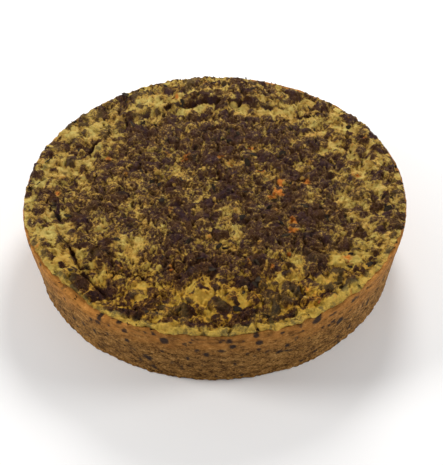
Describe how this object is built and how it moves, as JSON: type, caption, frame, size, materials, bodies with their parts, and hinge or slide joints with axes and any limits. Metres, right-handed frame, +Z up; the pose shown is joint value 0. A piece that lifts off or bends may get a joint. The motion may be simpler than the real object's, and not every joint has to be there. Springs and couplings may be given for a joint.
{
  "type": "spinach pie",
  "caption": "Round deep pie: a straight-sided shortcrust case filled to a thin overlapping lip with a browned spinach, egg and cheese filling.",
  "frame": {"origin": "centre of the flat underside of the pastry case", "axes": "+Z up; -Y is the side that faces the viewer of the picture, +X to the right"},
  "size_m": [0.2596, 0.2598, 0.0535],
  "materials": {
    "baked_shortcrust": "dry baked pastry, matt, with fine pits and dark flecks",
    "browned_filling": "browned egg, cheese and spinach, blistered, with a slight greasy sheen"
  },
  "bodies": {
    "root": {"pastry_case": "baked_shortcrust", "filling": "browned_filling"}
  },
  "joints": []
}
